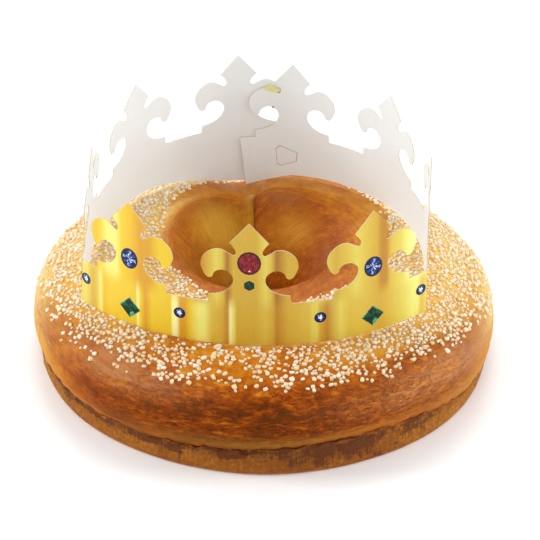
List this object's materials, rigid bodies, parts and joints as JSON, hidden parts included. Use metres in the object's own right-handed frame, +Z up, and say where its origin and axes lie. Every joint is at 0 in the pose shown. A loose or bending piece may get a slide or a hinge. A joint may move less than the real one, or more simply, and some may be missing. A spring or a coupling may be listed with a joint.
{
  "type": "brioche king cake",
  "caption": "Ring-shaped baked brioche with a torn lower edge, strewn with pearl sugar, with a gold card crown of fleur-de-lis resting on its top.",
  "frame": {"origin": "middle of the flat underside, at the middle of the object's box", "axes": "+Z up, -Y towards the front of the crown, +X to its right as seen from the front"},
  "size_m": [0.267, 0.2682, 0.1474],
  "materials": {
    "crust": "satin baked egg-washed crust",
    "gold_card": "glossy gold print on card",
    "pearl_sugar": "rough opaque sugar grains",
    "bare_card": "uncoated pale grey inside and cut edges of the card",
    "printed_jewels": "glossy print"
  },
  "bodies": {
    "root": {"brioche": "crust", "crown": "gold_card"}
  },
  "joints": []
}
